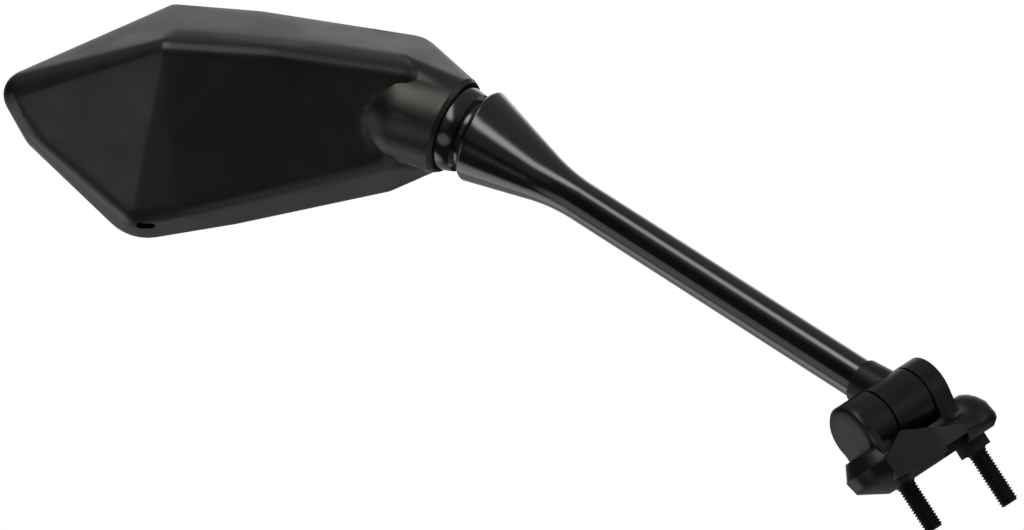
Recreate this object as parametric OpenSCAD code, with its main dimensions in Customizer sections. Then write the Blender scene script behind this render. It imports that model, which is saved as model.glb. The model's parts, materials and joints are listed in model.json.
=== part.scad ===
// Motorcycle mirror: a hollow angular head on a swivel ball, a flared arm that folds,
// and a cast base with two studs. Units are millimetres.
// The origin is on the mounting face, midway between the studs. X runs along the studs
// and Z points away from the surface that the base is bolted to.

/* [Base] */
// Distance between the two stud axes
stud_pitch = 27; // [24:0.5:32]
// Diameter of the studs
stud_d = 6; // [5:0.5:7]
// Length of the left stud below the mounting face
stud_left_reach = 16.4; // [12:0.2:30]
// Length of the right stud below the mounting face
stud_right_reach = 22.4; // [12:0.2:30]
// Length of each stud held in the casting
stud_grip = 7.5; // [6:0.5:8.5]
// Outer diameter of the locating collar on the right stud
collar_d = 10.4; // [9:0.2:11]
// Height of the locating collar below the mounting face
collar_h = 3.6; // [2:0.2:6]
// Thickness of the rubber pad set into the underside
pad_t = 2.6; // [2:0.2:3.4]
// Half width of the foot across the studs at its left end
foot_half_w = 11; // [10:0.5:12]
// Radius of the foot round the right stud
lobe_r = 10; // [9:0.5:11]

/* [Fold joint] */
// Height of the fold pin above the mounting face
pin_h = 20.6; // [19:0.2:24]
// Diameter of the fold pin
pin_d = 6; // [5:0.5:7]
// Outer radius of the two ears and of the barrel between them
ear_r = 10; // [9:0.25:10.5]
// Width of the left ear along the pin
ear_left_w = 11.2; // [9:0.2:12]
// Width of the right ear along the pin
ear_right_w = 6.4; // [6:0.2:8]
// Width of the arm's barrel along the pin
barrel_w = 14; // [12:0.5:15]
// Gap between the barrel and each ear
side_gap = 0.8; // [0.7:0.1:1.2]
// Distance from the studs' middle to the barrel's middle, towards the left stud
barrel_shift = 2; // [0:0.5:3]

/* [Arm] */
// Diameter of the arm
arm_d = 12.7; // [11:0.1:14]
// Distance from the fold pin to the flare's end face
arm_len = 176.9; // [140:0.2:220]
// Length of the flare at the arm's outer end
flare_len = 36; // [28:1:45]
// Diameter of the flare at its end face
flare_d = 29.2; // [27:0.2:30]
// Backward lean of the arm from upright at rest, in degrees
arm_lean = 35.2; // [20:0.2:45]
// Sideways cant of the arm towards the left stud, in degrees
arm_cant = 5.3; // [0:0.1:8]
// Turn of the flare's end face about the arm's X axis, in degrees
neck_turn = 3.7; // [0:0.2:8]
// Turn of the flare's end face about the arm's Y axis, in degrees
neck_bend = 12.8; // [6:0.1:16]

/* [Swivel] */
// Distance from the flare's end face to the ball's centre
neck_gap = 7.9; // [7.5:0.1:9]
// Radius of the ball's visible skirt
skirt_r = 14; // [13.4:0.1:14]
// Radius of the ball's inner dome
dome_r = 10.5; // [10.2:0.1:10.6]
// Thickness of the plastic seat on the dome
seat_t = 1; // [0.8:0.1:1.1]
// Thickness of the web that the swivel clamps
web_t = 1.6; // [1.4:0.1:2]
// Thickness of the seat behind the web
cap_seat_t = 0.9; // [0.7:0.1:1.1]
// Clearance between the swivel's round faces
swivel_fit = 0.3; // [0.2:0.05:0.4]
// Diameter of the swivel bolt
bolt_d = 6; // [5:0.5:6]
// Largest tilt of the swivel in any direction, in degrees
swing = 14.5; // [12:0.5:15]
// Outer radius of the head's neck behind its lip
neck_r = 16.1; // [15.8:0.1:16.8]
// Wall of the neck round the swivel
neck_wall = 2.1; // [1.8:0.1:2.4]

/* [Head] */
// Length of the head, from its inboard end to its tip
head_len = 143.2; // [125:0.2:165]
// Height of the head
head_h = 74.7; // [68:0.1:85]
// Depth from the ball's centre to the head's open rim
rim_depth = 28; // [25:0.5:32]
// Height of the ridge in front of the ball's centre
ridge_h = 9; // [7:0.5:12]
// Wall of the head's shell
wall = 2.4; // [1.8:0.1:3]
// Thickness of the mirror glass
glass_t = 2.2; // [1.8:0.1:3]
// Depth of the glass below the rim
glass_inset = 1; // [0.5:0.1:1.5]
// Thickness of the foam pad behind the glass
foam_t = 0.8; // [0.5:0.1:1.2]
// Thickness of the plate that carries the glass
holder_t = 1.6; // [1.2:0.1:2]
// Width of the rubber seal round the glass
seal_w = 1; // [0.8:0.1:1.4]
// Diameter of the holder screws
screw_d = 2.6; // [2.2:0.1:3]
// Length of the drain slot at the head's low corner
drain_l = 6; // [4:0.5:8]
// Width of the drain slot
drain_w = 3.6; // [2:0.2:4]

/* [Hidden] */
$fn = 64;

eps = 0.01;
// A running fit, for each side of a turning pair
run_fit = 0.05;
stud_r = stud_d / 2;
pin_r = pin_d / 2;
stud_x = stud_pitch / 2;
stud_tip = 0.6;
shank_r = stud_r + 0.3;
shank_drop = 0.3;

// Places along the fold pin
barrel_x0 = -barrel_shift - barrel_w / 2;
barrel_x1 = barrel_x0 + barrel_w;
ear_left_x1 = barrel_x0 - side_gap;
ear_left_x0 = ear_left_x1 - ear_left_w;
ear_right_x0 = barrel_x1 + side_gap;
ear_right_x1 = ear_right_x0 + ear_right_w;
face_plate_t = 2.2;
ear_web_half = 6.4;
ear_bevel = 1;
ear_foot_z = 8;
bush_wall = 1.2;
flange_t = side_gap - 0.2;
flange_r = 7.6;
pin_head_r = pin_r + 2.1;
pin_head_h = 2.4;
pin_spring_t = 0.9;
pin_seat_x = ear_right_x1 - pin_head_h - pin_spring_t - 0.3;

// The foot's round sections: [x, height, radius]
foot_left_x = -stud_x - 4.5;
foot_right_x = stud_x + 1.5;
pad_left_x = -stud_x + 1.5;
pad_left_r = foot_half_w - 4;
pad_right_r = lobe_r - 2.4;
left_lobe = [
  [pad_left_x, 0, pad_left_r],
  [foot_left_x, 2.4, foot_half_w - 5.4],
  [foot_left_x, 5, foot_half_w - 0.8],
  [foot_left_x, 9, foot_half_w],
  [foot_left_x, 14.2, foot_half_w - 2.8]
];
right_lobe = [
  [foot_right_x, 0, pad_right_r],
  [foot_right_x, 1.6, lobe_r - 0.4],
  [foot_right_x, 3, lobe_r],
  [foot_right_x, 7.3, lobe_r - 0.6],
  [foot_right_x, 10, lobe_r - 2.2],
  [foot_right_x, 12, lobe_r - 4.2],
  [foot_right_x, 13.2, lobe_r - 6.4]
];
deck = [
  [pad_left_x, 0, pad_left_r],
  [foot_left_x, 5, foot_half_w - 0.8],
  [foot_left_x, 9.4, foot_half_w],
  [foot_right_x, 0, pad_right_r],
  [foot_right_x, 3, lobe_r],
  [foot_right_x, 7, lobe_r - 1.2]
];
disc_t = 0.4;
front_y = -foot_half_w - 0.4;
front_x1 = -1;
front_top_x = ear_left_x1 - 1.7;
notch_h = pad_t + 0.2;
skirt_w = 1.4;
barrel_clear = 0.6;

// Arm. The flare's end face stands a little to one side of the arm's axis.
flare_offset = [-0.5, 0.4];
stub_end = 15.6;
stub_r = arm_d / 2 + 0.75;
spigot_r = 4.5;
spigot_s0 = 6.2;
cross_pin_r = 1.2;
cross_pin_s = 11.6;
knuckle_bore_r = pin_r + run_fit + bush_wall;

// Swivel, measured along the neck axis from the ball's centre
ball_cut = 5;
groove_r = 11.2;
skirt_top = 1.5;
dome_top = 9;
seat_in_r = dome_r + swivel_fit;
seat_out_r = seat_in_r + seat_t;
pocket_r = seat_out_r + swivel_fit;
web_r = pocket_r + web_t;
cap_seat_in_r = web_r + swivel_fit;
cap_seat_out_r = cap_seat_in_r + cap_seat_t;
cap_in_r = cap_seat_out_r + swivel_fit;
cap_top = cap_in_r + 2;
cap_r = 9;
spring_r = 6.5;
spring_n = 3;
spring_step = 1;
washer_t = 1;
bolt_r = bolt_d / 2;
bolt_head_h = 4;
bolt_head_r = bolt_r + 2.4;
washer_z = cap_top + spring_n * spring_step;
bolt_top = washer_z + washer_t + bolt_head_h;
bolt_grip = 14;
// Radius of a hole in a shell at radius r that clears the bolt at a given tilt
function swing_hole(r, tilt) = r * sin(asin(bolt_r / r) + tilt + 1.5);
web_hole_r = swing_hole(web_r, swing);
half_swing = 10;
cap_seat_hole_r = swing_hole(cap_seat_in_r, half_swing);
lip_h = 1.4;
lip_drop = 0.8;
neck_bore_r = neck_r - neck_wall;
neck_bore_top = 14.5;
bolt_room_r = bolt_head_r + 6.6;
bolt_room_z = 19;
bolt_room_top = 28;
mouth_r = skirt_r + swivel_fit + 0.05;
mouth_h = 5.3;
web_floor = 7.4;

// Head. The head's own frame has X along its length, inboard end positive, Y up and Z forwards.
head_turn = [129.9, 59.25, -4.2];
head_x1 = -1.5;
head_y0 = 2.5;
glass_z = -rim_depth + glass_inset;
foam_z = glass_z + glass_t;
holder_z = foam_z + foam_t;
holder_top = holder_z + holder_t;
seat_gap = 0.1;
pocket_step = 0.2;
glass_inset_xy = wall + seat_gap + seal_w;
// The rim's corners: [share of the length, share of the half height, corner radius]
rim_corners = [
  [0.943, 0.223, 8.2],
  [0.895, -0.027, 9.6],
  [0.679, -0.551, 16.8],
  [0.492, -0.641, 9.1],
  [0.156, -0.384, 8.5],
  [0.050, -0.252, 6.9],
  [0.097, 0.400, 12.7],
  [0.434, 0.700, 9.1],
  [0.615, 0.845, 5.8]
];
inboard_corners = [5, 6];
// The round edges above the rim: [share of the length, share of the half height, depth, radius].
// The depth is from the top of the ridge. The first five run along the low side from the tip,
// the next four are the shoulder and the last three the ridge.
shell_points = [
  [0.943, 0.222, 24.8, 7.5],
  [0.895, -0.027, 26.7, 8.5],
  [0.694, -0.659, 26.8, 10],
  [0.604, -0.683, 21.6, 6],
  [0.158, -0.287, 14.4, 6],
  [0.107, 0.422, 10.6, 5],
  [0.255, 0.506, 10.6, 5],
  [0.423, 0.584, 11, 5],
  [0.602, 0.635, 11.1, 5],
  [0.628, 0.576, 4.3, 4],
  [0.395, 0.519, 3.8, 4],
  [0.098, 0.359, 4.1, 4]
];
neck_shoulder = 5;
boss_at = [0.098, 0.054];
boss_depth = 13;
boss_r = 15.5;
function head_x(u) = head_x1 - u * head_len;
function head_y(v) = head_y0 + v * head_h / 2;
screw_spots = [[0.30, 0.02], [0.56, 0.45], [0.60, -0.42], [0.80, 0.05]];
screw_boss_r = screw_d / 2 + 1.6;
screw_len = 7;
screw_head_r = screw_d / 2 + 1.3;
countersink_h = 1.3;
drain_u = 0.679;
drain_v = -0.913;

cast_black = "#222222";
gloss_black = "#0f0f10";
moulded_black = "#1c1c1b";
rubber_black = "#141414";
bare_steel = "#9a9c9e";
white_nylon = "#d8d8d0";

// Frames
module at_pin() translate([0, 0, pin_h]) children();
module at_arm() at_pin() rotate([-arm_lean, 0, 0]) rotate([0, -arm_cant, 0]) children();
module at_flare_face() at_arm() translate([flare_offset[0], flare_offset[1], arm_len])
  rotate([neck_turn, 0, 0]) rotate([0, -neck_bend, 0]) children();
module at_neck() at_flare_face() translate([0, 0, neck_gap]) children();
module at_head() at_neck() rotate(head_turn) children();

// A round bar along X
module bar(x0, x1, r) translate([x0, 0, 0]) rotate([0, 90, 0]) cylinder(r = r, h = x1 - x0);
module box(low, high) translate(low) cube(high - low);
// A slice of a round shell about the ball's centre, between two heights
module shell(r_in, r_out) difference() {
  sphere(r = r_out);
  sphere(r = r_in);
}

// Base
module stack(sections) hull() for (s = sections)
  translate([s[0], 0, s[1]]) cylinder(r = s[2], h = disc_t, $fn = 48);

module front_wall() rotate([90, 0, 0]) translate([0, 0, -front_y - 5])
  linear_extrude(5) polygon([
    [ear_left_x0, 3], [ear_left_x0, 9.6], [front_top_x, 14.4],
    [front_x1, 9.7], [front_x1, 1.2], [ear_left_x0 + 8, 1.2]
  ]);

// The sloping facet between the front wall and the right lobe
module front_facet() hull() {
  box([front_x1 - 0.5, front_y, notch_h], [front_x1, -5, 9.5]);
  box([foot_right_x - 6, -lobe_r, notch_h], [foot_right_x - 5.5, -5, 5.6]);
}

module left_ear() {
  translate([ear_left_x0, 0, pin_h]) rotate([0, 90, 0]) {
    cylinder(r1 = ear_r - ear_bevel, r2 = ear_r, h = ear_bevel);
    translate([0, 0, ear_bevel]) cylinder(r = ear_r, h = ear_left_w - ear_bevel);
  }
  box([ear_left_x0 + eps, -ear_web_half, 9], [ear_left_x1, ear_web_half, pin_h]);
  box([ear_left_x0 + ear_bevel, -ear_r, 10], [ear_left_x0 + ear_bevel + face_plate_t, ear_r, pin_h]);
}

module right_ear() hull() {
  translate([0, 0, pin_h]) bar(ear_right_x0, ear_right_x1, ear_r, $fn = 96);
  box([ear_right_x0, -ear_web_half, ear_foot_z], [ear_right_x1, ear_web_half, ear_foot_z + 1]);
}

module base_casting() color(cast_black) difference() {
  union() {
    stack(left_lobe);
    stack(right_lobe);
    stack(deck);
    front_wall();
    front_facet();
    left_ear();
    right_ear();
  }
  // Room for the arm's barrel
  translate([0, 0, pin_h]) bar(ear_left_x1, ear_right_x0, ear_r + barrel_clear);
  box([ear_left_x1, -20, pin_h], [ear_right_x0, 20, pin_h + 20]);
  // Bore, counterbore and blind hole for the fold pin
  translate([0, 0, pin_h]) {
    bar(pin_seat_x, ear_right_x1 + 1, pin_head_r + 0.3);
    bar(ear_left_x0 + 3, ear_right_x1, pin_r);
  }
  // Stud holes
  for (x = [-stud_x, stud_x]) translate([x, 0, -1]) cylinder(r = shank_r, h = stud_grip + 1);
  // Recess for the pad, open at the front by the right lobe
  pad_form();
  box([front_x1 + eps, front_y - 1, -1], [foot_right_x - 6, -4, notch_h]);
}

// The pad and its recess share one outline
module pad_form() {
  translate([pad_left_x, 0, 0]) cylinder(r = pad_left_r - skirt_w, h = pad_t);
  translate([foot_right_x, 0, 0]) cylinder(r = pad_right_r - skirt_w, h = pad_t);
  box([pad_left_x, -pad_left_r + skirt_w, 0], [foot_right_x, pad_left_r - skirt_w, pad_t]);
}

module base_pad() color(rubber_black) difference() {
  pad_form();
  translate([-stud_x, 0, -1]) cylinder(r = shank_r, h = pad_t + 2);
  translate([stud_x, 0, -1]) cylinder(r = collar_d / 2, h = pad_t + 2);
}

// A stud's plain shank, pressed into the casting, runs down to shank_z
module stud(x, reach, shank_z) translate([x, 0, 0]) {
  translate([0, 0, shank_z]) cylinder(r = shank_r, h = stud_grip - shank_z);
  translate([0, 0, stud_tip - reach]) cylinder(r = stud_r, h = reach - stud_tip + shank_z + eps);
  translate([0, 0, -reach]) cylinder(r1 = stud_r - stud_tip, r2 = stud_r, h = stud_tip);
}
module stud_left() color(gloss_black) stud(-stud_x, stud_left_reach, -shank_drop);
module stud_right() color(gloss_black) stud(stud_x, stud_right_reach, -collar_h - shank_drop);

module stud_collar() color(rubber_black) translate([stud_x, 0, -collar_h]) difference() {
  cylinder(r = collar_d / 2, h = collar_h + pad_t);
  translate([0, 0, -1]) cylinder(r = shank_r, h = collar_h + pad_t + 2);
}

// Fold joint
module fold_pin() color(bare_steel) translate([0, 0, pin_h]) difference() {
  union() {
    bar(ear_left_x0 + 3, ear_right_x1 - 0.3, pin_r);
    bar(ear_right_x1 - 0.3 - pin_head_h, ear_right_x1 - 0.3, pin_head_r);
  }
  translate([ear_right_x1 - 1.9, 0, 0]) rotate([0, 90, 0]) cylinder(r = 2, h = 3, $fn = 6);
}

module fold_spring() color(bare_steel) translate([0, 0, pin_h]) difference() {
  translate([pin_seat_x, 0, 0]) rotate([0, 90, 0])
    cylinder(r1 = pin_head_r, r2 = pin_head_r - 0.8, h = pin_spring_t);
  bar(pin_seat_x - 1, ear_right_x1, pin_r);
}

// A flanged bush: the flange points to +X when side is 1 and to -X when it is -1
module bush(face_x, side) translate([face_x, 0, pin_h]) scale([side, 1, 1]) difference() {
  union() {
    bar(-(barrel_w - 1) / 2, 0, knuckle_bore_r);
    bar(0, flange_t, flange_r);
  }
  bar(-barrel_w, flange_t + 1, pin_r + run_fit);
}
module bush_left() color(white_nylon) mirror([1, 0, 0]) bush(-barrel_x0, 1);
module bush_right() color(white_nylon) bush(barrel_x1, 1);

// Arm
module arm_knuckle() color(cast_black) difference() {
  union() {
    translate([0, 0, pin_h]) bar(barrel_x0, barrel_x1, ear_r);
    at_arm() cylinder(r1 = stub_r + 1.2, r2 = stub_r, h = stub_end);
  }
  translate([0, 0, pin_h]) bar(barrel_x0 - 1, barrel_x1 + 1, knuckle_bore_r);
  // The stub stays between the ears while the arm folds
  translate([0, 0, pin_h]) {
    bar(barrel_x0 - 20, barrel_x0, ear_r + barrel_clear);
    bar(barrel_x1, barrel_x1 + 20, ear_r + barrel_clear);
  }
  at_arm() translate([0, 0, spigot_s0]) cylinder(r = spigot_r, h = stub_end);
  cross_pin_bar();
}

module cross_pin_bar() at_arm() translate([0, -stub_r + 1, cross_pin_s])
  rotate([-90, 0, 0]) cylinder(r = cross_pin_r, h = 2 * stub_r - 2);

module arm_cross_pin() color(bare_steel) cross_pin_bar();

module arm() color(gloss_black) difference() {
  union() {
    at_arm() {
      translate([0, 0, spigot_s0]) cylinder(r = spigot_r, h = stub_end);
      translate([0, 0, stub_end]) cylinder(r = arm_d / 2, h = arm_len - flare_len - stub_end + 1);
    }
    flare();
  }
  cross_pin_bar();
  at_neck() translate([0, 0, -neck_gap - bolt_grip]) cylinder(r = bolt_r, h = bolt_grip + 1);
}

// The flare runs from the round arm to an end face square to the neck
module flare() hull() {
  at_arm() translate([0, 0, arm_len - flare_len]) cylinder(r = arm_d / 2 + 0.05, h = disc_t, $fn = 96);
  at_flare_face() {
    translate([0, 0, -1.5]) cylinder(r = flare_d / 2, h = disc_t, $fn = 96);
    translate([0, 0, -0.8]) cylinder(r = flare_d / 2 - 0.2, h = disc_t, $fn = 96);
    translate([0, 0, -disc_t]) cylinder(r = flare_d / 2 - 0.9, h = disc_t, $fn = 96);
  }
}

// Swivel
module swivel_ball() color(gloss_black) at_neck() difference() {
  union() {
    intersection() {
      sphere(r = skirt_r);
      translate([0, 0, -ball_cut]) cylinder(r = skirt_r + 1, h = ball_cut + skirt_top);
    }
    intersection() {
      sphere(r = dome_r);
      cylinder(r = dome_r + 1, h = dome_top);
    }
    translate([0, 0, -neck_gap]) cylinder(r = groove_r, h = neck_gap);
  }
  translate([0, 0, -neck_gap - 1]) cylinder(r = bolt_r, h = 2 * neck_gap + 8);
}

module swivel_bolt() color(bare_steel) at_neck() difference() {
  union() {
    translate([0, 0, -neck_gap - bolt_grip + 1]) cylinder(r = bolt_r, h = neck_gap + bolt_grip + washer_z);
    translate([0, 0, washer_z + washer_t]) cylinder(r = bolt_head_r, h = bolt_head_h);
  }
  translate([0, 0, bolt_top - 2.5]) cylinder(r = bolt_r - 0.4, h = 5, $fn = 6);
}

module ball_seat() color(white_nylon) at_neck() difference() {
  intersection() {
    shell(seat_in_r, seat_out_r);
    translate([0, 0, 6.8]) cylinder(r = seat_out_r, h = seat_out_r);
  }
  cylinder(r = 6.4, h = 30);
}

module cap_seat() color(white_nylon) at_neck() difference() {
  intersection() {
    shell(cap_seat_in_r, cap_seat_out_r);
    translate([0, 0, cap_seat_in_r * cos(42)]) cylinder(r = cap_seat_out_r, h = cap_seat_out_r);
  }
  cylinder(r = cap_seat_hole_r, h = 30);
}

module spring_cap() color(bare_steel) at_neck() difference() {
  translate([0, 0, 9]) cylinder(r = cap_r, h = cap_top - 9);
  sphere(r = cap_in_r);
  cylinder(r = bolt_r + 0.1, h = 40);
}

module disc_springs() color(bare_steel) at_neck() for (i = [0:spring_n - 1])
  translate([0, 0, cap_top + i * spring_step]) mirror([0, 0, i % 2]) translate([0, 0, -(i % 2) * spring_step])
    difference() {
      cylinder(r1 = spring_r, r2 = spring_r - 1.2, h = spring_step);
      translate([0, 0, -eps]) cylinder(r = bolt_r + 0.1, h = spring_step + 1);
    }

module bolt_washer() color(bare_steel) at_neck() translate([0, 0, washer_z]) difference() {
  cylinder(r = spring_r, h = washer_t);
  translate([0, 0, -1]) cylinder(r = bolt_r, h = washer_t + 2);
}

// Head
// One hull of the rim and the round edges above it, moved in by a depth on every side
module head_form(inset) hull() {
  for (c = rim_corners) rim_corner(c, inset);
  for (c = shell_points) shell_ball(c, inset);
}
module rim_corner(c, inset) translate([head_x(c[0]), head_y(c[1]), -rim_depth - (inset > 0 ? 1 : 0)])
  cylinder(r = c[2] - inset, h = 1, $fn = 40);
module shell_ball(c, inset) translate([head_x(c[0]), head_y(c[1]), ridge_h - c[2]])
  sphere(r = c[3] - inset, $fn = 32);

// The neck's round body runs from behind the lip to a ball that stands out of the front facet
module neck_boss() hull() {
  at_neck() translate([0, 0, lip_h]) cylinder(r = neck_r, h = disc_t, $fn = 96);
  at_head() translate([head_x(boss_at[0]), head_y(boss_at[1]), ridge_h - boss_depth])
    sphere(r = boss_r, $fn = 64);
}

// The shell's inboard end closes round the neck
module neck_blend() hull() {
  at_neck() translate([0, 0, lip_h]) cylinder(r = neck_r - 0.1, h = disc_t, $fn = 96);
  at_head() {
    for (i = inboard_corners) rim_corner(rim_corners[i], 0);
    shell_ball(shell_points[neck_shoulder], 0);
  }
}

// A flat plate of the rim's outline, moved in by a depth
module rim_plate(inset, z, t) translate([0, 0, z]) linear_extrude(t) hull() for (c = rim_corners)
  translate([head_x(c[0]), head_y(c[1])]) circle(r = c[2] - inset, $fn = 40);

module drain_slot() translate([head_x(drain_u), head_y(drain_v), -13]) rotate([25, 0, -8])
  translate([0, 0, -8]) {
    for (x = [-1, 1]) translate([x * (drain_l - drain_w) / 2, 0, 0]) cylinder(r = drain_w / 2, h = 16);
    box([-(drain_l - drain_w) / 2, -drain_w / 2, 0], [(drain_l - drain_w) / 2, drain_w / 2, 16]);
  }

module screw_bosses() intersection() {
  head_form(0.4);
  for (s = screw_spots) translate([head_x(s[0]), head_y(s[1]), holder_top]) cylinder(r = screw_boss_r, h = 60);
}

module head_housing() color(moulded_black) difference() {
  union() {
    difference() {
      union() {
        at_head() head_form(0);
        neck_blend();
      }
      at_head() {
        head_form(wall);
        rim_plate(wall - pocket_step, -rim_depth - 1, holder_z + rim_depth + 1);
        translate([0, 0, -rim_depth - 5]) linear_extrude(5) square(400, center = true);
      }
    }
    at_head() screw_bosses();
    difference() {
      union() {
        neck_boss();
        at_neck() cylinder(r1 = neck_r - lip_drop, r2 = neck_r, h = lip_h);
      }
      at_head() translate([0, 0, holder_top + 0.5 - 40]) linear_extrude(40) square(400, center = true);
    }
  }
  at_neck() {
    // Open mouth round the ball's skirt, pocket for the seat and hole for the bolt
    intersection() {
      sphere(r = mouth_r);
      translate([0, 0, -20]) cylinder(r = 20, h = 20 + mouth_h);
    }
    sphere(r = pocket_r);
    cylinder(r = web_hole_r, h = 20);
    // Chamber behind the web
    difference() {
      union() {
        translate([0, 0, web_floor]) cylinder(r = neck_bore_r, h = neck_bore_top - web_floor);
        translate([0, 0, neck_bore_top])
          cylinder(r1 = neck_bore_r, r2 = bolt_room_r, h = bolt_room_z - neck_bore_top);
        translate([0, 0, bolt_room_z]) cylinder(r = bolt_room_r, h = bolt_room_top - bolt_room_z);
      }
      sphere(r = web_r);
    }
  }
  at_head() {
    for (s = screw_spots) translate([head_x(s[0]), head_y(s[1]), holder_top - 1])
      cylinder(r = screw_d / 2, h = screw_len + 1);
    drain_slot();
  }
}

module glass_seal() color(rubber_black) at_head() difference() {
  rim_plate(wall + seat_gap, glass_z, glass_t + foam_t);
  rim_plate(glass_inset_xy, glass_z - 1, glass_t + foam_t + 2);
}

module glass_holder() color(moulded_black) at_head() difference() {
  rim_plate(glass_inset_xy + 2.2, holder_z, holder_t);
  for (s = screw_spots) translate([head_x(s[0]), head_y(s[1]), holder_z]) {
    cylinder(r = screw_d / 2, h = holder_t + 1);
    cylinder(r1 = screw_head_r, r2 = screw_d / 2, h = countersink_h);
  }
}

module holder_screws() color(bare_steel) at_head() for (s = screw_spots)
  translate([head_x(s[0]), head_y(s[1]), holder_z]) {
    cylinder(r = screw_d / 2, h = holder_t + screw_len - 1);
    cylinder(r1 = screw_head_r, r2 = screw_d / 2, h = countersink_h);
  }

module foam_pad() color(rubber_black) at_head() rim_plate(glass_inset_xy + 3, foam_z, foam_t);

module mirror_glass() color("#b8c4cc") at_head() rim_plate(glass_inset_xy, glass_z, glass_t);

base_casting();
base_pad();
stud_left();
stud_right();
stud_collar();
fold_pin();
fold_spring();
bush_left();
bush_right();
arm_knuckle();
arm_cross_pin();
arm();
swivel_ball();
swivel_bolt();
ball_seat();
cap_seat();
spring_cap();
disc_springs();
bolt_washer();
head_housing();
glass_seal();
glass_holder();
holder_screws();
foam_pad();
mirror_glass();
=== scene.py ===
import json
import math

import bpy
import bmesh
import numpy as np
from mathutils import Matrix, Vector


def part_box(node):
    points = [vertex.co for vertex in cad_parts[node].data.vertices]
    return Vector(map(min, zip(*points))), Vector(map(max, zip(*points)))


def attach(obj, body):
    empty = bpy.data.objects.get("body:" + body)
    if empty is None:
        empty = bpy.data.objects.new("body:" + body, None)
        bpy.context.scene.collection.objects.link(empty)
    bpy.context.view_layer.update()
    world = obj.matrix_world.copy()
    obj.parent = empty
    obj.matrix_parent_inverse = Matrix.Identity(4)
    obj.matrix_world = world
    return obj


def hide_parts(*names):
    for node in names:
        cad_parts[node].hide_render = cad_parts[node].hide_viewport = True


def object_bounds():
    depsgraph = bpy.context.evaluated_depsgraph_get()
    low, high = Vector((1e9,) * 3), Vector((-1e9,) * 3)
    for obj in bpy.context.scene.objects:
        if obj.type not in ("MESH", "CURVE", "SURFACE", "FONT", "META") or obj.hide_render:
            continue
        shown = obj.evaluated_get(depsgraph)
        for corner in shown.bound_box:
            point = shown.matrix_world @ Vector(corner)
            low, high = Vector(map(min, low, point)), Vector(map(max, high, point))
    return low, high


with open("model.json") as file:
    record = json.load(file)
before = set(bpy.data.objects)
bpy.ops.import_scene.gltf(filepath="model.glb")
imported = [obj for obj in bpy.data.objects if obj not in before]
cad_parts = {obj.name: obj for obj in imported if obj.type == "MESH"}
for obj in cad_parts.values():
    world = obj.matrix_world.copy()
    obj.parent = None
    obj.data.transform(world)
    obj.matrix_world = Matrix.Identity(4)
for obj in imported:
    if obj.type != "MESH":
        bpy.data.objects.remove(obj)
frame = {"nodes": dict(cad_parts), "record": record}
cad_low, cad_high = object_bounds()

MM = 0.001
NODES = frame["nodes"]

# The photograph's camera: its axes in the part's frame, and its place seen from a point
# inside the arm's barrel
IMAGE_W = 1024
FOCAL_PX = 7118
SENSOR_MM = 36
CAMERA_RIGHT = Vector((0.75179, -0.37242, -0.54416))
CAMERA_UP = Vector((0.46250, -0.29039, 0.83771))
CAMERA_BACK = Vector((-0.47000, -0.88146, -0.04607))
BARREL_POINT_MM = Vector((-2, 0, 20))
CAMERA_FROM_BARREL_MM = (-116.6, 44.0, 2157)


def turned(right, up, back):
    """The rotation whose columns are these three directions."""
    return Matrix((right, up, back)).transposed()


def make_camera():
    x, y, z = CAMERA_FROM_BARREL_MM
    place = (BARREL_POINT_MM + CAMERA_RIGHT * x + CAMERA_UP * y + CAMERA_BACK * z) * MM
    data = bpy.data.cameras.new("camera")
    data.sensor_width = SENSOR_MM
    data.lens = FOCAL_PX * SENSOR_MM / IMAGE_W
    data.clip_start, data.clip_end = 0.05, 50
    camera = bpy.data.objects.new("camera", data)
    axes = turned(CAMERA_RIGHT, CAMERA_UP, CAMERA_BACK)
    camera.matrix_world = Matrix.Translation(place) @ axes.to_4x4()
    bpy.context.scene.collection.objects.link(camera)
    bpy.context.scene.camera = camera


# Materials


NOISE_LOW, NOISE_HIGH = 0.3, 0.7


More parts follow.
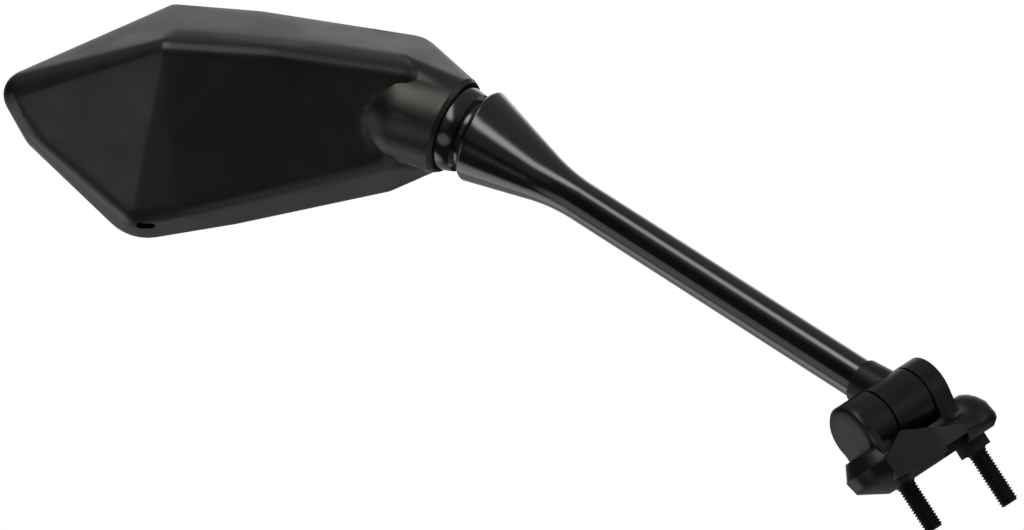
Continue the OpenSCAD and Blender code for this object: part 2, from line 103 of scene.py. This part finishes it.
class Shader:
    """A Principled material with short helpers for its nodes."""

    def __init__(self, name):
        self.material = bpy.data.materials.new(name)
        self.material.use_nodes = True
        self.nodes = self.material.node_tree.nodes
        self.links = self.material.node_tree.links
        self.bsdf = self.nodes["Principled BSDF"]
        self.place = self.nodes.new("ShaderNodeTexCoord").outputs["Object"]

    def set(self, **values):
        for socket, value in values.items():
            self.bsdf.inputs[socket.replace("_", " ")].default_value = value

    def noise(self, per_metre, detail=3.0, stretch=None):
        node = self.nodes.new("ShaderNodeTexNoise")
        node.inputs["Scale"].default_value = per_metre
        node.inputs["Detail"].default_value = detail
        source = self.place
        if stretch:
            scale = self.nodes.new("ShaderNodeVectorMath")
            scale.operation = "MULTIPLY"
            scale.inputs[1].default_value = stretch
            self.links.new(source, scale.inputs[0])
            source = scale.outputs["Vector"]
        self.links.new(source, node.inputs["Vector"])
        return node.outputs["Fac"]

    def spread(self, value, low, high):
        node = self.nodes.new("ShaderNodeMapRange")
        node.inputs["From Min"].default_value = NOISE_LOW
        node.inputs["From Max"].default_value = NOISE_HIGH
        node.inputs["To Min"].default_value = low
        node.inputs["To Max"].default_value = high
        self.links.new(value, node.inputs["Value"])
        return node.outputs["Result"]

    def colour(self, value, dark, light):
        node = self.nodes.new("ShaderNodeValToRGB")
        node.color_ramp.elements[0].color = (*dark, 1)
        node.color_ramp.elements[0].position = NOISE_LOW
        node.color_ramp.elements[1].color = (*light, 1)
        node.color_ramp.elements[1].position = NOISE_HIGH
        self.links.new(value, node.inputs["Fac"])
        self.links.new(node.outputs["Color"], self.bsdf.inputs["Base Color"])

    def roughness(self, value, low, high):
        self.links.new(self.spread(value, low, high), self.bsdf.inputs["Roughness"])

    def bump(self, value, depth_mm):
        node = self.nodes.new("ShaderNodeBump")
        node.inputs["Distance"].default_value = depth_mm * MM
        node.inputs["Strength"].default_value = 1
        self.links.new(value, node.inputs["Height"])
        self.links.new(node.outputs["Normal"], self.bsdf.inputs["Normal"])


def plastic(name, dark, light, rough, grain_mm, depth_mm, specular=0.5, sheen=(1, 1, 1)):
    """A matt finish with a fine grain; sheen tints what it reflects."""
    shader = Shader(name)
    shader.set(Specular_IOR_Level=specular, Specular_Tint=(*sheen, 1))
    slow = shader.noise(60, 2)
    shader.colour(slow, dark, light)
    shader.roughness(slow, rough - 0.04, rough + 0.04)
    shader.bump(shader.noise(1 / (grain_mm * MM), 2), depth_mm)
    return shader.material


def gloss_paint(name, tint, rough, peel_mm, depth_mm):
    """Paint under a clear coat, with a faint orange peel."""
    shader = Shader(name)
    slow = shader.noise(40, 2)
    shader.colour(slow, tuple(0.85 * c for c in tint), tuple(1.15 * c for c in tint))
    shader.roughness(slow, rough * 0.8, rough * 1.2)
    shader.set(Coat_Weight=1.0, Coat_Roughness=0.04)
    shader.bump(shader.noise(1 / (peel_mm * MM), 1), depth_mm)
    return shader.material


def bare_metal(name, tint, rough):
    """Metal with fine lines across its height."""
    shader = Shader(name)
    shader.set(Metallic=1.0)
    brushed = shader.noise(900, 4, (1, 1, 12))
    shader.colour(brushed, tuple(0.8 * c for c in tint), tint)
    shader.roughness(brushed, rough - 0.06, rough + 0.06)
    shader.bump(brushed, 0.01)
    return shader.material


def mirror_finish(name):
    shader = Shader(name)
    shader.set(Metallic=1.0)
    slow = shader.noise(15, 2)
    shader.colour(slow, (0.84, 0.88, 0.9), (0.88, 0.91, 0.92))
    shader.roughness(slow, 0.01, 0.02)
    return shader.material


# The photo's black parts reflect a slightly green grey
CAST_SHEEN = (1, 1, 0.92)
MOULDED_SHEEN = (0.98, 1, 0.9)

MATERIALS = {
    "cast_black": plastic(
        "cast_black", (0.006, 0.006, 0.0055), (0.009, 0.009, 0.008), 0.36, 0.6, 0.012,
        specular=0.45, sheen=CAST_SHEEN
    ),
    "gloss_black": gloss_paint("gloss_black", (0.006, 0.006, 0.007), 0.2, 4, 0.01),
    "black_steel": plastic("black_steel", (0.003,) * 3, (0.005,) * 3, 0.5, 0.6, 0.006, 0.3),
    "bare_steel": bare_metal("bare_steel", (0.55, 0.55, 0.57), 0.32),
    "nylon": plastic("nylon", (0.6, 0.6, 0.56), (0.68, 0.68, 0.64), 0.5, 1.0, 0.02),
    "moulded_black": plastic(
        "moulded_black", (0.0026, 0.0030, 0.0024), (0.0036, 0.0042, 0.0034), 0.38, 0.9, 0.004,
        specular=0.85, sheen=MOULDED_SHEEN
    ),
    "holder_plastic": plastic("holder_plastic", (0.012,) * 3, (0.02,) * 3, 0.6, 0.8, 0.02),
    "rubber": plastic("rubber", (0.008,) * 3, (0.014,) * 3, 0.75, 0.4, 0.03),
    "foam": plastic("foam", (0.02,) * 3, (0.03,) * 3, 0.9, 0.8, 0.1),
    "mirror_glass": mirror_finish("mirror_glass"),
}


def smooth(obj, degrees=30):
    """Smooth shading, broken at edges sharper than this, with flat faces kept flat."""
    mesh = obj.data
    if mesh.has_custom_normals:
        with bpy.context.temp_override(object=obj, active_object=obj, selected_objects=[obj]):
            bpy.ops.mesh.customdata_custom_splitnormals_clear()
    for face in mesh.polygons:
        face.use_smooth = True
    limit = math.radians(degrees)
    bm = bmesh.new()
    bm.from_mesh(mesh)
    for edge in bm.edges:
        edge.smooth = edge.is_manifold and edge.calc_face_angle(math.pi) < limit
    bm.to_mesh(mesh)
    bm.free()
    weighted = obj.modifiers.new("weighted", "WEIGHTED_NORMAL")
    weighted.keep_sharp = True
    weighted.weight = 100


def dress_nodes():
    slots = {part["node"]: part["material_slot"] for part in frame["record"]["subparts"]}
    for name, obj in NODES.items():
        obj.data.materials.clear()
        obj.data.materials.append(MATERIALS[slots[name]])
        smooth(obj)


def add_piece(bm, name, slot, node, body, degrees=None):
    """A mesh that stands for a CAD node and moves with its body, smoothed where asked."""
    mesh = bpy.data.meshes.new(name)
    bm.to_mesh(mesh)
    bm.free()
    piece = bpy.data.objects.new(name, mesh)
    bpy.context.scene.collection.objects.link(piece)
    mesh.materials.append(MATERIALS[slot])
    if degrees:
        smooth(piece, degrees)
    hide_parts(node)
    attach(piece, body)
    return piece


def skin(bm, loops):
    """Quads between loops of points in millimetres, closed at both ends."""
    rings = [[bm.verts.new(point * MM) for point in loop] for loop in loops]
    for lower, upper in zip(rings, rings[1:]):
        for k, corner in enumerate(lower):
            after = (k + 1) % len(lower)
            bm.faces.new((corner, lower[after], upper[after], upper[k]))
    bm.faces.new(list(reversed(rings[0])))
    bm.faces.new(rings[-1])


# Arm: the stem, its soft sweep into the flare, and the flare's rounded end

PIN_MM = Vector((0, 0, 20.6))
ARM_LEAN, ARM_CANT = 35.2, 5.3
NECK_TURN, NECK_BEND = 3.7, 12.8
FACE_MM = Vector((-0.5, 0.4, 176.9))
STEM_R_MM = 6.35
STEM_START_MM = 15.6
FLARE_MM = 36
FLARE_R_MM = 15.1
FLARE_SHIFT_MM = (0.6, -0.45)
FLARE_ROUND_MM = 1.8
SWEEP_MM = 9
SPIGOT_START_MM = 6.2
SPIGOT_R_MM = 4.5
BOLT_BORE_DEEP_MM = 14
BOLT_BORE_R_MM = 3
ARM_SIDES = 96
ARM_SHARP_DEGREES = 40
SWEEP_STEPS = 12
FLARE_STEPS = 8
ROUND_STEPS = 8


def about(axis, degrees):
    """A turn of the arm's axes, as the CAD source turns them."""
    return Matrix.Rotation(math.radians(degrees), 3, axis)


def make_arm():
    """The arm as one skin: spigot, stem, sweep, flare, rounded rim and the bolt's bore."""
    arm = about("X", -ARM_LEAN) @ about("Y", -ARM_CANT)
    face = arm @ about("X", NECK_TURN) @ about("Y", -NECK_BEND)
    face_place = PIN_MM + arm @ FACE_MM

    def on_arm(height, radius):
        return [PIN_MM + arm @ Vector((radius * c, radius * s, height)) for c, s in spokes]

    def on_face(height, radius, shift=(0, 0)):
        return [
            face_place + face @ Vector((shift[0] + radius * c, shift[1] + radius * s, height))
            for c, s in spokes
        ]

    turns = [2 * math.pi * k / ARM_SIDES for k in range(ARM_SIDES)]
    spokes = [(math.cos(turn), math.sin(turn)) for turn in turns]
    neck = FACE_MM.z - FLARE_MM
    bend = on_arm(neck, STEM_R_MM)
    before = on_arm(neck - SWEEP_MM, STEM_R_MM)
    brim = on_face(-FLARE_ROUND_MM, FLARE_R_MM, FLARE_SHIFT_MM)
    after = [b + (e - b).normalized() * SWEEP_MM for b, e in zip(bend, brim)]
    loops = [
        on_arm(SPIGOT_START_MM, SPIGOT_R_MM),
        on_arm(STEM_START_MM, SPIGOT_R_MM),
        on_arm(STEM_START_MM, STEM_R_MM),
        before,
    ]
    for step in range(1, SWEEP_STEPS):
        t = step / SWEEP_STEPS
        loops.append([
            a * (1 - t) ** 2 + b * 2 * t * (1 - t) + c * t * t for a, b, c in zip(before, bend, after)
        ])
    for step in range(FLARE_STEPS + 1):
        loops.append([a.lerp(b, step / FLARE_STEPS) for a, b in zip(after, brim)])
    for step in range(1, ROUND_STEPS + 1):
        turn = math.pi / 2 * step / ROUND_STEPS
        height = FLARE_ROUND_MM * (math.sin(turn) - 1)
        radius = FLARE_R_MM - FLARE_ROUND_MM * (1 - math.cos(turn))
        loops.append(on_face(height, radius, FLARE_SHIFT_MM))
    loops.append(on_face(0, BOLT_BORE_R_MM))
    loops.append(on_face(-BOLT_BORE_DEEP_MM, BOLT_BORE_R_MM))
    bm = bmesh.new()
    skin(bm, loops)
    add_piece(bm, "flared_arm", "gloss_black", "arm", "arm", ARM_SHARP_DEGREES)


# Soft forms: a CAD shape in finer faces, its shading turned softly across each crease

SOFT_PASSES = 120
MOST_SPLITS = 7
WELD_M = 1e-6
LEAST_COTANGENT = 0.02
HEAD_FACE_MM, HEAD_REACH_MM, HEAD_SHARP_DEGREES = 2.6, 2.0, 55
BASE_FACE_MM, BASE_REACH_MM, BASE_SHARP_DEGREES = 1.6, 1.1, 62


def fine_faces(node, face_mm, sharp_degrees):
    """A node's mesh with no long face edge, opened at its sharp edges."""
    bm = bmesh.new()
    bm.from_mesh(NODES[node].data)
    bmesh.ops.remove_doubles(bm, verts=bm.verts, dist=WELD_M)
    bmesh.ops.triangulate(bm, faces=bm.faces)
    for _ in range(MOST_SPLITS):
        long_edges = [edge for edge in bm.edges if edge.calc_length() > face_mm * MM]
        if not long_edges:
            break
        bmesh.ops.subdivide_edges(bm, edges=long_edges, cuts=1)
        bmesh.ops.triangulate(bm, faces=[face for face in bm.faces if len(face.verts) > 3])
    limit = math.radians(sharp_degrees)
    sharp = [edge for edge in bm.edges if not edge.is_manifold or edge.calc_face_angle() > limit]
    bmesh.ops.split_edges(bm, edges=sharp)
    for face in bm.faces:
        face.smooth = True
    return bm


def soft_normals(mesh, reach_mm):
    """Each vertex's normal, spread over the surface as heat spreads through a sheet."""
    points = np.empty(len(mesh.vertices) * 3)
    mesh.vertices.foreach_get("co", points)
    points = points.reshape(-1, 3) / MM
    corners = np.empty(len(mesh.polygons) * 3, dtype=np.int64)
    mesh.polygons.foreach_get("vertices", corners)
    corners = corners.reshape(-1, 3)
    a, b, c = (points[corners[:, k]] for k in range(3))
    cross = np.cross(b - a, c - a)
    double_area = np.maximum(np.linalg.norm(cross, axis=1), 1e-9)
    count = len(points)
    mass = np.zeros(count)
    start = np.zeros((count, 3))
    ends, others, pull = [], [], []
    for k in range(3):
        i, j, apex = corners[:, (k + 1) % 3], corners[:, (k + 2) % 3], corners[:, k]
        mass += np.bincount(apex, double_area / 6, count)
        for axis in range(3):
            start[:, axis] += np.bincount(apex, cross[:, axis], count)
        side = points[i] - points[apex], points[j] - points[apex]
        cotangent = (side[0] * side[1]).sum(axis=1) / double_area
        cotangent = np.maximum(cotangent, LEAST_COTANGENT)
        ends += [i, j]
        others += [j, i]
        pull += [cotangent / 2] * 2
    ends, others, pull = (np.concatenate(part) for part in (ends, others, pull))
    pull *= reach_mm ** 2 / 2
    start /= np.maximum(np.linalg.norm(start, axis=1, keepdims=True), 1e-12)
    total = mass + np.bincount(ends, pull, count)
    normals = start
    for _ in range(SOFT_PASSES):
        spread = [np.bincount(ends, pull * normals[others, axis], count) for axis in range(3)]
        normals = (mass[:, None] * start + np.stack(spread, axis=1)) / total[:, None]
    return normals / np.maximum(np.linalg.norm(normals, axis=1, keepdims=True), 1e-12)


def soft_form(name, node, slot, body, face_mm, reach_mm, sharp_degrees):
    """A CAD shape kept as it is, but for its finer faces and soft shading."""
    piece = add_piece(fine_faces(node, face_mm, sharp_degrees), name, slot, node, body)
    normals = soft_normals(piece.data, reach_mm)
    piece.data.normals_split_custom_set_from_vertices(normals.tolist())


# Studs

STUD_R_MM = 3.0
STUD_SHANK_R_MM = 3.3
STUD_SHANK_MM = 7.5
STUD_CHAMFER_MM = 0.6
THREAD_PITCH_MM = 1.0
THREAD_DEPTH_MM = 0.5
THREAD_RUNOUT_MM = 1.2
THREAD_STEPS = 10
THREAD_FLANK = 1.35
THREAD_LAND = 0.15
STUD_SIDES = 48
STUD_SHARP_DEGREES = 50
LEFT_SHANK_Z_MM = -0.3
RIGHT_SHANK_Z_MM = -3.9


def thread_radius(turn, z, low, high):
    """The radius of a cut thread at a share of a turn and a height, all in millimetres."""
    phase = ((z - low) / THREAD_PITCH_MM - turn) % 1.0
    cut = min(max(THREAD_FLANK * (1 - abs(2 * phase - 1)) - THREAD_LAND, 0.0), 1.0)
    fade = min(max((high - z) / THREAD_RUNOUT_MM, 0.0), 1.0)
    radius = STUD_R_MM - THREAD_DEPTH_MM * cut * fade
    return min(radius, STUD_R_MM - STUD_CHAMFER_MM + (z - low))


def threaded_stud(name, node, shank_z):
    """A stud with its cut thread, in place of the plain one."""
    low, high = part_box(node)
    middle = Vector(((low[0] + high[0]) / 2, (low[1] + high[1]) / 2, 0)) / MM
    tip = low[2] / MM
    rings = int((shank_z - tip) / THREAD_PITCH_MM * THREAD_STEPS)
    heights = [tip + (shank_z - tip) * i / rings for i in range(rings + 1)]

    def ring(z, radius_at):
        loop = []
        for k in range(STUD_SIDES):
            angle = 2 * math.pi * k / STUD_SIDES
            radius = radius_at(k / STUD_SIDES, z)
            loop.append(middle + Vector((radius * math.cos(angle), radius * math.sin(angle), z)))
        return loop

    loops = [ring(z, lambda turn, h: thread_radius(turn, h, tip, shank_z)) for z in heights]
    loops += [ring(z, lambda turn, h: STUD_SHANK_R_MM) for z in (shank_z, STUD_SHANK_MM)]
    bm = bmesh.new()
    skin(bm, loops)
    add_piece(bm, name, "black_steel", node, "base", STUD_SHARP_DEGREES)


# Stage


class Room:
    """What the part is lit by and reflects: soft glows added round a dim room."""

    def __init__(self):
        self.world = bpy.data.worlds.new("studio")
        bpy.context.scene.world = self.world
        self.world.use_nodes = True
        self.nodes, self.links = self.world.node_tree.nodes, self.world.node_tree.links
        self.ray = self.nodes.new("ShaderNodeTexCoord").outputs["Generated"]
        self.level = self.nodes.new("ShaderNodeValue").outputs[0]

    def dim(self, level):
        self.level.default_value = level

    def facing(self, direction):
        """The cosine between a ray and a direction."""
        node = self.nodes.new("ShaderNodeVectorMath")
        node.operation = "DOT_PRODUCT"
        node.inputs[1].default_value = direction.normalized()
        self.links.new(self.ray, node.inputs[0])
        return node.outputs["Value"]

    def rise(self, value, start, stop, level=1.0):
        """A soft step from nothing at one value to the full level at another."""
        node = self.nodes.new("ShaderNodeMapRange")
        node.interpolation_type = "SMOOTHSTEP"
        node.inputs["From Min"].default_value = start
        node.inputs["From Max"].default_value = stop
        node.inputs["To Max"].default_value = level
        self.links.new(value, node.inputs["Value"])
        return node.outputs["Result"]

    def join(self, operation, first, second):
        node = self.nodes.new("ShaderNodeMath")
        node.operation = operation
        self.links.new(first, node.inputs[0])
        self.links.new(second, node.inputs[1])
        return node.outputs["Value"]

    def glow(self, direction, start, stop, level):
        """Light from round a direction, from nothing at the first cosine to full at the second."""
        light = self.rise(self.facing(direction), start, stop, level)
        self.level = self.join("MAXIMUM", self.level, light)

    def strip(self, across, middle, half, soft, along, start, stop, level):
        """A long light: narrow across one direction and reaching along another."""
        side = self.facing(across)
        band = self.join(
            "MULTIPLY",
            self.rise(side, middle - half - soft, middle - half + soft),
            self.rise(side, middle + half + soft, middle + half - soft),
        )
        reach = self.rise(self.facing(along), start, stop, level)
        self.level = self.join("MAXIMUM", self.level, self.join("MULTIPLY", band, reach))

    def finish(self):
        seen = self.nodes["Background"]
        seen.inputs["Color"].default_value = (1, 1, 1, 1)
        light = self.nodes.new("ShaderNodeBackground")
        path = self.nodes.new("ShaderNodeLightPath")
        mix = self.nodes.new("ShaderNodeMixShader")
        self.links.new(self.level, light.inputs["Color"])
        self.links.new(path.outputs["Is Camera Ray"], mix.inputs["Fac"])
        self.links.new(light.outputs["Background"], mix.inputs[1])
        self.links.new(seen.outputs["Background"], mix.inputs[2])
        self.links.new(mix.outputs["Shader"], self.nodes["World Output"].inputs["Surface"])


def in_view(right, up, back):
    """A direction given along the photograph's own axes."""
    return CAMERA_RIGHT * right + CAMERA_UP * up + CAMERA_BACK * back


DIM_LEVEL = 0.025

# Each glow: its direction along the photograph's right, up and back, the cosines where it
# starts and is full, and its level
GLOWS = {
    "behind": ((0, 0.28, -0.96), 0.78, 1.0, 0.92),
    "behind_low": ((-0.1, -0.5, -0.8), 0.80, 0.95, 0.22),
    "behind_low_left": ((-0.6, -0.5, -0.6), 0.80, 0.98, 0.36),
    "low_left": ((-0.62, -0.68, -0.35), 0.92, 0.99, 1.1),
    "left": ((-0.95, -0.3, 0.1), 0.93, 0.985, 0.6),
    "above": ((0.1, 1, -0.1), 0.30, 0.80, 0.2),
    "front_high_right": ((0.65, 0.5, 0.55), 0.60, 0.90, 0.2),
    "right": ((0.85, 0.5, 0.25), 0.95, 0.985, 1.0),
    "front_low_left": ((-0.52, -0.52, 0.68), 0.945, 0.99, 0.75),
    "front_left": ((-0.5, 0.15, 0.85), 0.93, 0.99, 0.15),
}

# The strip light: narrow from side to side, long from overhead down toward the camera
STRIP_MIDDLE, STRIP_HALF, STRIP_SOFT = -0.25, 0.12, 0.10
STRIP_ALONG = (0, 1, 0.85)
STRIP_START, STRIP_STOP, STRIP_LEVEL = 0.76, 0.93, 3.7

FLOOR_R, FLOOR_DROP, FLOOR_SIDES = 0.4, 0.25, 96


def make_room():
    room = Room()
    room.dim(DIM_LEVEL)
    for way, start, stop, level in GLOWS.values():
        room.glow(in_view(*way), start, stop, level)
    room.strip(
        CAMERA_RIGHT, STRIP_MIDDLE, STRIP_HALF, STRIP_SOFT,
        in_view(*STRIP_ALONG), STRIP_START, STRIP_STOP, STRIP_LEVEL
    )
    room.finish()


def make_floor():
    middle = (cad_low + cad_high) / 2
    bm = bmesh.new()
    bmesh.ops.create_circle(bm, cap_ends=True, segments=FLOOR_SIDES, radius=FLOOR_R)
    mesh = bpy.data.meshes.new("floor")
    bm.to_mesh(mesh)
    bm.free()
    floor = bpy.data.objects.new("floor", mesh)
    floor.location = (middle.x, middle.y, cad_low.z - FLOOR_DROP)
    shader = Shader("floor")
    shader.colour(shader.noise(3, 2), (0.86, 0.86, 0.86), (0.9, 0.9, 0.9))
    shader.set(Roughness=0.8)
    mesh.materials.append(shader.material)
    bpy.context.scene.collection.objects.link(floor)


make_camera()
dress_nodes()
make_arm()
soft_form(
    "head_shell", "head_housing", "moulded_black", "head",
    HEAD_FACE_MM, HEAD_REACH_MM, HEAD_SHARP_DEGREES
)
soft_form(
    "base_body", "base_casting", "cast_black", "base",
    BASE_FACE_MM, BASE_REACH_MM, BASE_SHARP_DEGREES
)
threaded_stud("left_thread", "stud_left", LEFT_SHANK_Z_MM)
threaded_stud("right_thread", "stud_right", RIGHT_SHANK_Z_MM)
make_room()
make_floor()

bpy.context.scene.view_settings.view_transform = "Standard"
